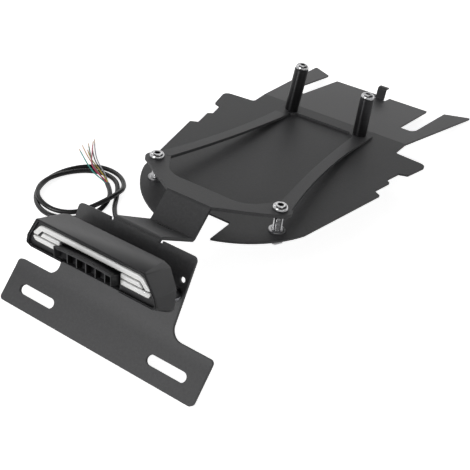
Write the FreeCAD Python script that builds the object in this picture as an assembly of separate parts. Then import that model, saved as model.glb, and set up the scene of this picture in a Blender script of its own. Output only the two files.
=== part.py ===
import FreeCAD, Part
import math
import os
from FreeCAD import Vector as V, Rotation, Placement

os.makedirs("parts", exist_ok=True)

# Tail tidy: an undertail plate, a folded number plate bracket with a rear light,
# spacers and screws. Millimetres. X to the right, Y towards the bike's front, Z up.
# Shapes are built about the undertail plate's fold line, then laid on the ground.

# undertail plate
PLATE_T = 2.0
FOLD_DEG = 8.0            # how far the front part drops at the fold
NOTCH_HALF = 28.5         # notch that the bracket's tongue passes
NOTCH_DEPTH = 31.5
PLATE_REAR = 286.5        # fold line to the rear tips
NOSE_HALF = 87.0          # half width where the round end starts
NOSE_Y = -228.0
NOSE_BULGE = 8.2
STEP_HALF = 110.5         # half width at the first of the side steps
STEP_Y = -120.0
STEP_IN = 7.0             # how deep the side steps are
STEP_PITCH = 27.5
EAR_HALF = 125.0
EAR_Y = -30.0
EAR_LEN = 33.0
EAR_R = 7.0
WAIST_HALF = 88.5         # half width at the fold line
FORK_HALF = 110.0
FORK_LEN = 183.5
FORK_IN = 80.0
FORK_CUT = 21.0           # slope of the fork tips
MID_HALF = 62.8
MID_LEN = 150.0
SLOT_END = 50.5
TAB_X = 3.6               # strap hook on the front edge
TAB_W = 11.2
TAB_H = 14.5
TAB_LIP = 9.5
TAB_ROOT = 17.0           # how far the tab's fold lies behind the front edge
TAB_RELIEF = 2.7
TAB_R = 1.2

# bracket sheet
BR_T = 3.0
KINK_Y = -36.0            # from here to the rear the sheet rises
ARM_DEG = 5.2
FRONT_PAD_X = 43.0
FRONT_PAD_Y = -18.0
FRONT_PAD_R = 12.5
FRONT_BAR_Y = -5.5        # front edge of the cross bar
FRONT_BAR_W = 18.0
REAR_PAD_X = 65.0
REAR_PAD_Y = -238.5
REAR_PAD_R = 11.0
ARM_OUT = ((53.6, -40.0), (57.8, -140.0), (REAR_PAD_X + 7.5, REAR_PAD_Y + 6.5))    # outer edge of the arm
ARM_IN = ((39.2, -38.0), (46.8, -140.0), (REAR_PAD_X - 6.4, REAR_PAD_Y + 12.5))    # inner edge
BAR_INNER_Y = REAR_PAD_Y - 17.3
BAR_INNER_HALF = 40.0
BAR_INNER_R = 24.0
TONGUE_HALF = 22.4
TONGUE_Y = REAR_PAD_Y - 41.9         # upper fold of the tongue
TONGUE_L = 29.8
TONGUE_DEG = 43.0
FLANGE_L = 54.0
FLANGE_DEG = 30.0
HOLD_L = 67.8             # neck of the number plate holder, flange to strip
HOLD_DEG = 64.0
HOLD_HALF = 57.0
HOLD_TOP = 2.6            # neck's top edge below the flange's corner
STRIP_H = 37.5
STRIP_DEG = 48.0
STRIP_HALF = 97.5
FOLD_R = 1.8              # inner radius of the sharp folds
SOFT_R = 60.0             # radius of the soft fold above the strip
CORNER_R = 3.5
ARMPIT_R = 10.0
TOP_R = 4.0
SLOT_X = 65.5             # number plate slots
SLOT_L = 36.5
SLOT_W = 8.5
SLOT_UP = 16.1            # strip's lower edge to the slot's middle
HOLE_X = 51.4
HOLE_S = 44.8
HOLE_R = 2.4
RELIEF_W = 3.0            # cuts beside the flange
RELIEF_L = 2.5
SLIT_X = -3.2             # oblong hole in the flange, near its lower fold
SLIT_L = 16.5
SLIT_W = 5.0
SLIT_UP = 6.8

# fasteners, M8 and M5
M8_R = 4.0
M8_HOLE_R = 4.5
M8_HEAD_R = 7.0
M8_HEAD_H = 4.4
M8_KEY = 5.0
M8_NUT_AF = 13.0
M8_NUT_H = 6.5
WASHER_R = 7.4
WASHER_T = 1.6
WASHER_CLEAR = 0.25
THREAD_OUT = 3.0          # thread past a nut
SPACER_X = 42.4
SPACER_Y = -21.0
SPACER_R = 7.5
SPACER_L_LEFT = 50.0
SPACER_L_RIGHT = 42.5
SPACER_BEVEL = 0.6
LEAN_LEFT = 5.5           # the left spacer leans inward in its wide hole
M5_R = 2.5
M5_HOLE_R = 2.75
M5_HEAD_R = 4.75
M5_HEAD_H = 2.7
M5_KEY = 3.0
M5_WASHER_R = 4.8
M5_WASHER_T = 1.0

# rear light
LIGHT_S = 54.1            # front upper edge, up the neck from the soft fold
LIGHT_N = 54.6            # and out from it
RAKE_DEG = 26.0           # the face against the neck
LIGHT_H = 29.0
TOP_HALF = 49.6
TOP_BEVEL = (1.1, 0.95)   # small bevel at the face's upper corners
SIDE_HALF = 60.3
SIDE_T = 18.5
LOW_HALF = 62.0
LOW_T = 26.5
LIP_HALF = 57.5
BODY_D = 30.0             # face to the back, square to the neck
BACK_TOP_HALF = 45.0
BACK_RISE = 5.3
BACK_BEVEL = (6.6, 2.2)   # wider bevel at the back's upper corners
BACK_MID_HALF = 62.0
BACK_MID = 9.8
BACK_LOW_HALF = 65.6
BACK_LOW = 24.6
BACK_END_HALF = 62.0
BACK_BOTTOM = 28.0
WALL = 2.2
RIM_EDGE = 0.75           # thin outer edge, then a groove, round the face
RIM_GAP = 0.65
RIM_DEPTH = 1.2
FIT = 0.2
CARRIER_IN = 1.8          # carrier's face behind the rim
CARRIER_T = 6.0
GUIDE_PROUD = 1.0
BOARD_T = 1.6
BOARD_MARGIN = 4.0
LAMP_HALF = 26.9
LAMP_OUT = 7.4            # lamp hood in front of the rim
LAMP_TOP = 8.1            # top of the arch below the light's upper edge
LAMP_ARCH = 1.4
LAMP_LOW = 19.4
LAMP_IN = 4.6             # how far the hood reaches behind the rim
LAMP_WALL = 1.0
LAMP_ROOM = 4.3           # how far the carrier's opening starts below the hood's top
GRILLE_BACK = 0.8
GRILLE_GAP = 0.5
BAND_H = 1.3
BAND_D = 2.4
RIB_FIRST = -14.3
RIB_PITCH = 8.7
RIB_T = 0.95
RIB_D = 5.0
RIBS = 5
COVER_HALF = 38.0         # cover behind the housing
COVER_UP = 20.0
COVER_S = 30.0
COVER_GAP = 7.0
COVER_R = 3.0
STUD_X = 50.5
STUD_S = 33.0
STUD_R = 3.3
STUD_BORE_L = 12.0
M5_GRIP = 9.0
CABLE_S = 40.0

# cable and its wires
CABLE_R = 2.4
GROMMET_R = 5.2
GROMMET_LIP = 1.8
GROMMET_RIM = 1.6
WIRE_R = 0.65
COIL_X = -153.8           # middle of the coil on the ground
COIL_Y = -246.0
COIL_IN = (34.5, 43.0)    # half axes of the inner turn
COIL_OUT = (40.0, 49.4)   # half axes of the outer turn


def rad(deg):
    return math.radians(deg)


def uphill(deg):
    return V(0, math.cos(rad(deg)), math.sin(rad(deg)))


def rounded(points):
    """closed wire in the XY plane from (x, y, corner radius)"""
    corners = []
    for i, (x, y, r) in enumerate(points):
        p = V(x, y, 0)
        before = V(*points[i - 1][:2], 0) - p
        after = V(*points[(i + 1) % len(points)][:2], 0) - p
        reach = 0.48 * min(before.Length, after.Length)
        before.normalize()
        after.normalize()
        angle = before.getAngle(after)
        if r <= 0 or angle > math.pi - 1e-4:
            corners.append((p, p, None))
            continue
        t = min(r / math.tan(angle / 2), reach)
        r = t * math.tan(angle / 2)
        middle = before + after
        middle.normalize()
        arc_mid = p + middle * (r / math.sin(angle / 2) - r)
        corners.append((p + before * t, p + after * t, arc_mid))
    edges = []
    for i, (start, end, arc_mid) in enumerate(corners):
        if arc_mid is not None:
            edges.append(Part.Arc(start, arc_mid, end).toShape())
        following = corners[(i + 1) % len(corners)][0]
        if (following - end).Length > 1e-6:
            edges.append(Part.LineSegment(end, following).toShape())
    return Part.Wire(edges)


def mirrored(half):
    """full outline from its right half, which starts and ends at x = 0"""
    return half + [(-x, y, r) for x, y, r in reversed(half) if x > 1e-6]


def slab(points, thickness):
    """flat sheet whose upper side is z = 0"""
    return Part.Face(rounded(points)).extrude(V(0, 0, -thickness))


def between_arcs(outer, inner, thickness):
    """flat sheet between two arcs, each through three points"""
    o = [V(x, y, 0) for x, y in outer]
    i = [V(x, y, 0) for x, y in inner]
    wire = Part.Wire([
        Part.Arc(*o).toShape(),
        Part.LineSegment(o[2], i[2]).toShape(),
        Part.Arc(i[2], i[1], i[0]).toShape(),
        Part.LineSegment(i[0], o[0]).toShape(),
    ])
    return Part.Face(wire).extrude(V(0, 0, -thickness))


def cylinder(radius, length, base, axis=V(0, 0, 1)):
    return Part.makeCylinder(radius, length, base, axis)


def box(size, middle):
    """box about the middle of its XY footprint, standing on middle's z"""
    return Part.makeBox(*size, V(middle[0] - size[0] / 2, middle[1] - size[1] / 2, middle[2]))


def turned(shape, deg, at):
    out = shape.copy()
    out.rotate(at, V(1, 0, 0), deg)
    return out


def single(shape):
    out = shape.removeSplitter()
    return out.Solids[0]


def bent_sheet(path, thickness, inner_r, half_width):
    """sheet whose one side follows the (y, z) path; it lies to the path's right"""
    pts = [V(0, y, z) for y, z in path]
    ways = []
    for i in range(len(pts) - 1):
        way = pts[i + 1] - pts[i]
        way.normalize()
        ways.append(way)

    def right(way):
        return V(0, way.z, -way.y)

    near = [(pts[0],)]
    far = [(pts[0] + right(ways[0]) * thickness,)]
    for i in range(1, len(pts) - 1):
        a, b = ways[i - 1], ways[i]
        turn = math.atan2(a.y * b.z - a.z * b.y, a.dot(b))
        left = turn > 0
        r_near = inner_r if left else inner_r + thickness
        r_far = inner_r + thickness if left else inner_r
        reach = r_near * math.tan(abs(turn) / 2)
        start = pts[i] - a * reach
        end = pts[i] + b * reach
        centre = start - right(a) * r_near if left else start + right(a) * r_near
        middle = pts[i] - centre
        middle.normalize()
        near.append((start, centre + middle * r_near, end))
        scale = r_far / r_near
        far_start = centre + (start - centre) * scale
        far_end = centre + (end - centre) * scale
        far.append((far_start, centre + middle * r_far, far_end))
    near.append((pts[-1],))
    far.append((pts[-1] + right(ways[-1]) * thickness,))

    def run(stops):
        edges = []
        here = stops[0][0]
        for stop in stops[1:]:
            if (stop[0] - here).Length > 1e-6:
                edges.append(Part.LineSegment(here, stop[0]).toShape())
            if len(stop) == 3:
                edges.append(Part.Arc(*stop).toShape())
            here = stop[-1]
        return edges

    last_end = Part.LineSegment(near[-1][0], far[-1][0]).toShape()
    first_end = Part.LineSegment(far[0][0], near[0][0]).toShape()
    face = Part.Face(Part.Wire(Part.__sortEdges__(run(near) + run(far) + [last_end, first_end])))
    sheet = face.extrude(V(2 * half_width, 0, 0))
    sheet.translate(V(-half_width, 0, 0))
    return sheet


def undertail_plate():
    """one sheet: notched round rear end, stepped sides, ears, a fold, fork arms and a hook"""
    edge = [
        (0, NOSE_Y, 0),
        (NOSE_HALF, NOSE_Y, 0),
        (STEP_HALF, STEP_Y, 1.0),
        (STEP_HALF - STEP_IN - 0.5, STEP_Y + 4.5, 1.0),
        (STEP_HALF - 2.3, STEP_Y + STEP_PITCH + 1.8, 1.0),
        (STEP_HALF - STEP_IN, STEP_Y + STEP_PITCH + 5.7, 1.0),
        (STEP_HALF - 2.5, STEP_Y + 2 * STEP_PITCH - 1.5, 1.0),
        (EAR_HALF - 8.4, EAR_Y - EAR_LEN, 1.5),
        (EAR_HALF, EAR_Y, EAR_R),
        (WAIST_HALF - 1.0, EAR_Y + 3.5, 4.0),
        (WAIST_HALF, 0, 0),
        (0, 0, 0),
    ]
    rear = slab(mirrored(edge), PLATE_T)

    corner = V(NOTCH_HALF, -PLATE_REAR, 0)
    hip = V(NOSE_HALF, NOSE_Y, 0)
    outward = V(hip.y - corner.y, corner.x - hip.x, 0)
    outward.normalize()
    bulge = (corner + hip) * 0.5 + outward * NOSE_BULGE

    def flip(p):
        return V(-p.x, p.y, p.z)

    nose = Part.Face(Part.Wire([
        Part.LineSegment(flip(hip), hip).toShape(),
        Part.Arc(hip, bulge, corner).toShape(),
        Part.LineSegment(corner, flip(corner)).toShape(),
        Part.Arc(flip(corner), flip(bulge), flip(hip)).toShape(),
    ])).extrude(V(0, 0, -PLATE_T))
    notch = slab([
        (-NOTCH_HALF, NOTCH_DEPTH - PLATE_REAR, 1.5),
        (NOTCH_HALF, NOTCH_DEPTH - PLATE_REAR, 1.5),
        (NOTCH_HALF, -PLATE_REAR - NOTCH_DEPTH, 0),
        (-NOTCH_HALF, -PLATE_REAR - NOTCH_DEPTH, 0),
    ], 3 * PLATE_T)
    notch.translate(V(0, 0, PLATE_T))
    rear = rear.fuse(nose).cut(notch)

    root = MID_LEN - TAB_ROOT
    tab_left = TAB_X - TAB_W / 2
    tab_right = TAB_X + TAB_W / 2
    fork = [
        (FORK_HALF, FORK_LEN, 1.5),
        (FORK_IN + 1.2, FORK_LEN - FORK_CUT, 1.5),
        (FORK_IN, SLOT_END + 9.0, 2.0),
        (FORK_IN - 3.0, SLOT_END, 5.0),
        (MID_HALF, SLOT_END, 1.5),
        (MID_HALF, MID_LEN, 1.5),
    ]
    recess = [
        (tab_right + TAB_RELIEF, MID_LEN, 0.6),
        (tab_right + TAB_RELIEF, root, 0.6),
        (tab_left - TAB_RELIEF, root, 0.6),
        (tab_left - TAB_RELIEF, MID_LEN, 0.6),
    ]
    left_fork = [(-x, y, r) for x, y, r in reversed(fork)]
    front = slab([(WAIST_HALF, 0, 0)] + fork + recess + left_fork + [(-WAIST_HALF, 0, 0)], PLATE_T)
    hook = bent_sheet([
        (root - 1.0, 0.0),
        (root + PLATE_T + 0.5, 0.0),
        (root + PLATE_T + 0.5, TAB_H),
        (root + PLATE_T + TAB_LIP, TAB_H),
    ], PLATE_T, TAB_R, TAB_W / 2)
    hook.translate(V(TAB_X, 0, 0))
    front = turned(front.fuse(hook), -FOLD_DEG, V(0, 0, 0))

    plate = rear.fuse(front)
    deep = 4 * PLATE_T
    for side in (-1, 1):
        plate = plate.cut(cylinder(M8_HOLE_R, deep, V(side * SPACER_X, SPACER_Y, -deep / 2)))
        plate = plate.cut(cylinder(M8_R + WASHER_CLEAR, deep, V(side * REAR_PAD_X, REAR_PAD_Y, -deep / 2)))
    return single(plate)


# places on the folded bracket, on its upper and outer side
KINK = V(0, KINK_Y, 0)


def along_sheet(y):
    """distance along the flat sheet of plan position y behind the kink"""
    return KINK_Y + (y - KINK_Y) / math.cos(rad(ARM_DEG))


def on_arm(x, y, up=0.0):
    """point over plan position y on the rising part's upper side"""
    rise = Placement(V(0, 0, 0), Rotation(V(1, 0, 0), -ARM_DEG), KINK)
    return rise.multVec(V(x, along_sheet(y), BR_T + up))


TONGUE_TOP = on_arm(0, TONGUE_Y)
TONGUE_END = TONGUE_TOP - uphill(TONGUE_DEG) * TONGUE_L
FLANGE_END = TONGUE_END + V(0, -math.cos(rad(FLANGE_DEG)), math.sin(rad(FLANGE_DEG))) * FLANGE_L
SOFT_FOLD = FLANGE_END - uphill(HOLD_DEG) * HOLD_L
STRIP_END = SOFT_FOLD - uphill(STRIP_DEG) * STRIP_H
HOLD_E = uphill(HOLD_DEG)
HOLD_N = V(0, -HOLD_E.z, HOLD_E.y)
STRIP_E = uphill(STRIP_DEG)
STRIP_N = V(0, -STRIP_E.z, STRIP_E.y)


def on_hold(x, s, n=0.0):
    """point on the neck's outer side, s up from the soft fold and n out from it"""
    return SOFT_FOLD + V(x, 0, 0) + HOLD_E * s + HOLD_N * n


def on_strip(x, s, n=0.0):
    """point on the strip's outer side, s up from its lower edge"""
    return STRIP_END + V(x, 0, 0) + STRIP_E * s + STRIP_N * n


def bracket_frame():
    """the flat and the rising part, cut from one flat shape and bent at the kink"""
    pad_y = along_sheet(REAR_PAD_Y)
    tongue_y = along_sheet(TONGUE_Y)
    inner_y = along_sheet(BAR_INNER_Y)
    parts = []
    for side in (-1, 1):
        outer = [(side * x, along_sheet(y)) for x, y in ARM_OUT]
        inner = [(side * x, along_sheet(y)) for x, y in ARM_IN]
        parts.append(between_arcs(outer, inner, BR_T))
        parts.append(cylinder(FRONT_PAD_R, BR_T, V(side * FRONT_PAD_X, FRONT_PAD_Y, -BR_T)))
        parts.append(cylinder(REAR_PAD_R, BR_T, V(side * REAR_PAD_X, pad_y, -BR_T)))
        shoulder = [
            (side * ARM_OUT[0][0], along_sheet(ARM_OUT[0][1]), 0),
            (side * ARM_IN[0][0], along_sheet(ARM_IN[0][1]), 0),
            (side * (FRONT_PAD_X - 5.0), FRONT_PAD_Y, 0),
            (side * (FRONT_PAD_X + FRONT_PAD_R - 0.4), FRONT_PAD_Y - 3.0, 0),
        ]
        parts.append(slab(shoulder, BR_T))
    cross_bar = box((2 * FRONT_PAD_X, FRONT_BAR_W, BR_T), (0, FRONT_BAR_Y - FRONT_BAR_W / 2, -BR_T))
    parts.append(cross_bar)
    rear = [
        (0, inner_y, 0),
        (BAR_INNER_HALF, inner_y, BAR_INNER_R),
        (REAR_PAD_X - 6.4, pad_y + 12.5, 0),
        (REAR_PAD_X + 4.0, pad_y + 5.0, 0),
        (REAR_PAD_X + 4.2, pad_y - REAR_PAD_R + 0.8, 0),
        (REAR_PAD_X - 15.0, pad_y - REAR_PAD_R - 13.0, 30.0),
        (TONGUE_HALF, tongue_y, 0),
        (0, tongue_y, 0),
    ]
    parts.append(slab(mirrored(rear), BR_T))
    flat = parts[0].multiFuse(parts[1:])
    flat.translate(V(0, 0, BR_T))
    big = 2 * PLATE_REAR
    ahead = flat.common(Part.makeBox(big, big, big, V(-big / 2, KINK_Y, -big / 2)))
    behind = flat.common(Part.makeBox(big, big, big, V(-big / 2, KINK_Y - big, -big / 2)))
    return ahead, turned(behind, -ARM_DEG, KINK)


def holder_sheet():
    """neck and strip: one softly folded sheet cut to the T outline"""
    path = [(p.y, p.z) for p in (STRIP_END, SOFT_FOLD, FLANGE_END)]
    sheet = bent_sheet(path, BR_T, SOFT_R, STRIP_HALF)
    lean = math.cos(rad(HOLD_DEG - STRIP_DEG) / 2)
    top = (HOLD_L - HOLD_TOP) * lean
    low = -STRIP_H * lean
    outline = mirrored([
        (0, low, 0),
        (STRIP_HALF, low, CORNER_R),
        (STRIP_HALF, 0, CORNER_R),
        (HOLD_HALF, 0, ARMPIT_R),
        (HOLD_HALF, top, TOP_R),
        (0, top, 0),
    ])
    cutter = Part.Face(rounded(outline)).extrude(V(0, 0, HOLD_L))
    cutter.translate(V(0, 0, -HOLD_L / 2))
    between = Placement(SOFT_FOLD, Rotation(V(1, 0, 0), (HOLD_DEG + STRIP_DEG) / 2))
    cutter.Placement = between.multiply(cutter.Placement)
    return sheet.common(cutter)


def long_hole(length, width):
    """cutter for a long hole about the origin, through a sheet along Z"""
    straight = length - width
    depth = 4 * BR_T
    ends = [cylinder(width / 2, depth, V(side * straight / 2, 0, -depth / 2)) for side in (-1, 1)]
    return box((straight, width, depth), (0, 0, -depth / 2)).multiFuse(ends)


def plate_bracket():
    """one folded sheet from the front pads down to the number plate strip"""
    ahead, behind = bracket_frame()
    start = TONGUE_TOP + uphill(-ARM_DEG) * 6.0
    low = FLANGE_END - HOLD_E * (HOLD_TOP + 8.0)
    path = [(p.y, p.z) for p in (low, FLANGE_END, TONGUE_END, TONGUE_TOP, start)]
    tongue = bent_sheet(path, BR_T, FOLD_R, TONGUE_HALF)
    bracket = ahead.multiFuse([behind, tongue, holder_sheet()])
    deep = 10 * BR_T
    for side in (-1, 1):
        relief = box((RELIEF_W, 2 * RELIEF_L, 2 * BR_T), (0, 0, -BR_T))
        relief.Placement = Placement(on_hold(side * (TONGUE_HALF + RELIEF_W / 2), HOLD_L - HOLD_TOP),
                                     Rotation(V(1, 0, 0), HOLD_DEG)).multiply(relief.Placement)
        slot = long_hole(SLOT_L, SLOT_W)
        slot.Placement = Placement(on_strip(side * SLOT_X, SLOT_UP), Rotation(V(1, 0, 0), STRIP_DEG))
        round_hole = cylinder(HOLE_R, deep, on_hold(side * HOLE_X, HOLE_S, -deep / 2), HOLD_N)
        stud_hole = cylinder(M5_HOLE_R, deep, on_hold(side * STUD_X, STUD_S, -deep / 2), HOLD_N)
        front_hole = cylinder(M8_HOLE_R, deep, V(side * SPACER_X, SPACER_Y, -deep / 2))
        rear_hole = cylinder(M8_HOLE_R, 2 * deep, V(side * REAR_PAD_X, REAR_PAD_Y, -deep / 2))
        for cut in (relief, slot, round_hole, stud_hole, front_hole, rear_hole):
            bracket = bracket.cut(cut)
    bracket = bracket.cut(cylinder(GROMMET_R, deep, on_hold(0, CABLE_S, -deep / 2), HOLD_N))
    slit = long_hole(SLIT_L, SLIT_W)
    slit_at = TONGUE_END + (FLANGE_END - TONGUE_END) * (SLIT_UP / FLANGE_L) + V(SLIT_X, 0, 0)
    slit.Placement = Placement(slit_at, Rotation(V(1, 0, 0), -FLANGE_DEG))
    bracket = bracket.cut(slit)
    return single(bracket)


def hexagon(across_flats, z):
    r = across_flats / 2 / math.cos(math.pi / 6)
    corners = [rad(60 * k) for k in range(7)]
    return Part.makePolygon([V(r * math.cos(a), r * math.sin(a), z) for a in corners])


def standing(shape, at, axis):
    """moves a shape built on +Z so that it stands at a point along an axis"""
    out = shape.copy()
    out.Placement = Placement(at, Rotation(V(0, 0, 1), axis))
    return out


def button_screw(r, head_r, head_h, key, length):
    """button head with a hex socket; the head's flat side is z = 0"""
    crown = 0.55 * head_r
    rim = 0.18 * head_h
    profile = Part.Wire([
        Part.LineSegment(V(0, 0, 0), V(head_r, 0, 0)).toShape(),
        Part.LineSegment(V(head_r, 0, 0), V(head_r, 0, rim)).toShape(),
        Part.Arc(V(head_r, 0, rim), V(0.84 * head_r, 0, 0.66 * head_h), V(crown, 0, head_h)).toShape(),
        Part.LineSegment(V(crown, 0, head_h), V(0, 0, head_h)).toShape(),
        Part.LineSegment(V(0, 0, head_h), V(0, 0, 0)).toShape(),
    ])
    head = Part.Face(profile).revolve(V(0, 0, 0), V(0, 0, 1), 360)
    socket = Part.Face(hexagon(key, 0.45 * head_h)).extrude(V(0, 0, head_h))
    return single(head.cut(socket).fuse(cylinder(r, length, V(0, 0, -length))))


def ring(outer_r, inner_r, height):
    return cylinder(outer_r, height, V(0, 0, 0)).cut(cylinder(inner_r, height, V(0, 0, 0)))


def nut(across_flats, height, bore_r):
    prism = Part.Face(hexagon(across_flats, 0)).extrude(V(0, 0, height))
    return prism.cut(cylinder(bore_r, height, V(0, 0, 0)))


def spacer_stack(side, length, lean_deg):
    """sleeve, screw, washer and nut on one axis through a front pad"""
    axis = V(math.sin(rad(lean_deg)), 0, math.cos(rad(lean_deg)))
    slope = math.tan(rad(lean_deg))
    half_way = (BR_T + PLATE_T) / 2
    foot = V(side * SPACER_X + half_way * slope, SPACER_Y, BR_T) + axis * (SPACER_R * slope)
    sleeve = ring(SPACER_R, M8_R + WASHER_CLEAR, length)
    rims = [e for e in sleeve.Edges if len(e.Vertexes) == 1 and e.BoundBox.XLength > 2 * SPACER_R - 1e-3]
    sleeve = sleeve.makeChamfer(SPACER_BEVEL, rims)
    through = (BR_T + PLATE_T) / axis.z + (SPACER_R + WASHER_R) * slope
    shank = length + through + WASHER_T + M8_NUT_H + THREAD_OUT
    screw = button_screw(M8_R, M8_HEAD_R, M8_HEAD_H, M8_KEY, shank)
    under = foot - axis * (through + WASHER_T)
    return (standing(sleeve, foot, axis), standing(screw, foot + axis * length, axis),
            standing(ring(WASHER_R, M8_R + WASHER_CLEAR, WASHER_T), under, axis),
            standing(nut(M8_NUT_AF, M8_NUT_H, M8_R), under - axis * M8_NUT_H, axis))


def rear_stack(side):
    """screw down through a raised pad, with washers over and under the plate and a nut"""
    up = V(0, 0, 1)
    seat = on_arm(side * REAR_PAD_X, REAR_PAD_Y)
    lift = (M8_HEAD_R + BR_T * math.sin(rad(ARM_DEG))) * math.tan(rad(ARM_DEG))
    head = V(side * REAR_PAD_X, REAR_PAD_Y, seat.z + lift)
    shank = head.z + PLATE_T + WASHER_T + M8_NUT_H + THREAD_OUT
    washer = ring(WASHER_R, M8_R + WASHER_CLEAR, WASHER_T)
    base = V(side * REAR_PAD_X, REAR_PAD_Y, 0)
    return (standing(button_screw(M8_R, M8_HEAD_R, M8_HEAD_H, M8_KEY, shank), head, up),
            standing(washer, base, up),
            standing(washer, base - up * (PLATE_T + WASHER_T), up),
            standing(nut(M8_NUT_AF, M8_NUT_H, M8_R), base - up * (PLATE_T + WASHER_T + M8_NUT_H), up))


# rear light, built upright about its front upper edge: Y into the light, Z up
LIGHT_AT = Placement(on_hold(0, LIGHT_S, LIGHT_N), Rotation(V(1, 0, 0), HOLD_DEG + RAKE_DEG - 90))
UP_NECK = V(0, math.sin(rad(RAKE_DEG)), math.cos(rad(RAKE_DEG)))
OFF_NECK = V(0, -UP_NECK.z, UP_NECK.y)
BACK_N = LIGHT_N - BODY_D


def both_sides(half):
    """closed outline from the corners on its right side, from the top down"""
    return half + [(-x, t) for x, t in reversed(half)]


FACE = both_sides([
    (TOP_HALF, 0),
    (TOP_HALF + TOP_BEVEL[0], TOP_BEVEL[1]),
    (SIDE_HALF, SIDE_T),
    (LOW_HALF, LOW_T),
    (LIP_HALF, LIGHT_H),
])
BACK = both_sides([
    (BACK_TOP_HALF, -BACK_RISE),
    (BACK_TOP_HALF + BACK_BEVEL[0], BACK_BEVEL[1] - BACK_RISE),
    (BACK_MID_HALF, BACK_MID),
    (BACK_LOW_HALF, BACK_LOW),
    (BACK_END_HALF, BACK_BOTTOM),
])

# light guides on the face: (x, distance below the upper edge)
GUIDE_UPPER = both_sides([(44.6, 5.6), (48.4, 7.0), (54.4, 14.2), (54.0, 15.4), (50.4, 15.8), (45.7, 10.3)])
GUIDE_MIDDLE = [(28.5, 11.9), (44.9, 11.9), (47.9, 15.8), (28.5, 15.8)]
GUIDE_LOWER = [(28.5, 17.3), (54.4, 17.3), (55.0, 18.0), (53.6, 21.0), (52.4, 21.5), (28.5, 21.5)]


def mounted(shape):
    out = shape.copy()
    out.Placement = LIGHT_AT.multiply(out.Placement)
    return out


def inset(polygon, distance):
    """polygon with each side moved inward"""
    count = len(polygon)
    twice = sum(a[0] * b[1] - b[0] * a[1] for a, b in zip(polygon, polygon[1:] + polygon[:1]))
    sign = 1 if twice > 0 else -1
    lines = []
    for (x0, y0), (x1, y1) in zip(polygon, polygon[1:] + polygon[:1]):
        length = math.hypot(x1 - x0, y1 - y0)
        nx = -(y1 - y0) / length * sign
        ny = (x1 - x0) / length * sign
        lines.append((nx, ny, nx * x0 + ny * y0 + distance))
    out = []
    for i in range(count):
        a, b = lines[i - 1], lines[i]
        det = a[0] * b[1] - a[1] * b[0]
        out.append(((a[2] * b[1] - a[1] * b[2]) / det, (a[0] * b[2] - a[2] * b[0]) / det))
    return out


def face_wire(polygon, depth):
    return Part.makePolygon([V(x, depth, -t) for x, t in polygon + polygon[:1]])


def back_wire(polygon, n):
    at = OFF_NECK * (n - LIGHT_N)
    return Part.makePolygon([V(x, 0, 0) + at - UP_NECK * t for x, t in polygon + polygon[:1]])


def face_prism(polygon, start, depth):
    return Part.Face(face_wire(polygon, start)).extrude(V(0, depth, 0))


def flipped(polygon):
    return [(-x, t) for x, t in reversed(polygon)]


def light_form(wall):
    """the light's body from its face to its back, moved inward by a wall"""
    front = face_wire(inset(FACE, wall), 0)
    back = back_wire(inset(BACK, wall), BACK_N + wall)
    return Part.makeLoft([front, back], True, True)


def light_housing():
    """moulded shell, open to the rear of the bike, with a grooved rim and a gap in its lip for the lamp"""
    gap_depth = LAMP_IN + 2 * WALL
    gap = box((2 * (LAMP_HALF + FIT), gap_depth, 3 * WALL), (0, gap_depth / 2 - 1.0, -LIGHT_H - WALL))
    hole_at = OFF_NECK * (BACK_N - LIGHT_N - WALL) + UP_NECK * (CABLE_S - LIGHT_S)
    hole = cylinder(CABLE_R + 1.0, 3 * WALL, hole_at, OFF_NECK)
    groove = face_prism(inset(FACE, RIM_EDGE), -1.0, 1.0 + RIM_DEPTH)
    groove = groove.cut(face_prism(inset(FACE, RIM_EDGE + RIM_GAP), -2.0, 3.0 + RIM_DEPTH))
    return mounted(single(light_form(0).cut(light_form(WALL)).cut(gap).cut(hole).cut(groove)))


def light_carrier():
    """black face that holds the light guides, with the lamp's opening"""
    plate = face_prism(FACE, CARRIER_IN, CARRIER_T).common(light_form(WALL + FIT))
    for shape in (GUIDE_UPPER, GUIDE_MIDDLE, flipped(GUIDE_MIDDLE), GUIDE_LOWER, flipped(GUIDE_LOWER)):
        plate = plate.cut(face_prism(inset(shape, -FIT), -CARRIER_T, 4 * CARRIER_T))
    room = box((2 * (LAMP_HALF + FIT), 4 * CARRIER_T, LIGHT_H), (0, 0, -LAMP_TOP - LAMP_ROOM - LIGHT_H))
    return mounted(single(plate.cut(room)))


def light_guide(shape):
    block = face_prism(shape, CARRIER_IN - GUIDE_PROUD, GUIDE_PROUD + CARRIER_T)
    return mounted(single(block.common(light_form(WALL + FIT))))


def along_lamp(profile, start, depth):
    """prism from a wire drawn at the hood's front plane, along the moulding direction"""
    back = OFF_NECK * (-1 / UP_NECK.z)
    out = Part.Face(profile).extrude(back * depth)
    out.translate(back * start)
    return out


def arch_wire(half, top, arch, low):
    """arched outline on the hood's front plane, sizes below the light's upper edge"""
    y = -LAMP_OUT
    left = V(-half, y, -top - arch)
    right = V(half, y, -top - arch)
    return Part.Wire([
        Part.Arc(left, V(0, y, -top), right).toShape(),
        Part.LineSegment(right, V(half, y, -low)).toShape(),
        Part.LineSegment(V(half, y, -low), V(-half, y, -low)).toShape(),
        Part.LineSegment(V(-half, y, -low), left).toShape(),
    ])


def plate_lamp_hood():
    """arched visor with cheeks, open in front and below"""
    depth = LAMP_OUT + LAMP_IN
    solid = along_lamp(arch_wire(LAMP_HALF, LAMP_TOP, LAMP_ARCH, LAMP_LOW), 0, depth)
    inner = arch_wire(LAMP_HALF - LAMP_WALL, LAMP_TOP + LAMP_WALL, LAMP_ARCH, LAMP_LOW + LIGHT_H)
    room = along_lamp(inner, -1, depth + 2)
    return mounted(single(solid.cut(room)))


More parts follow.
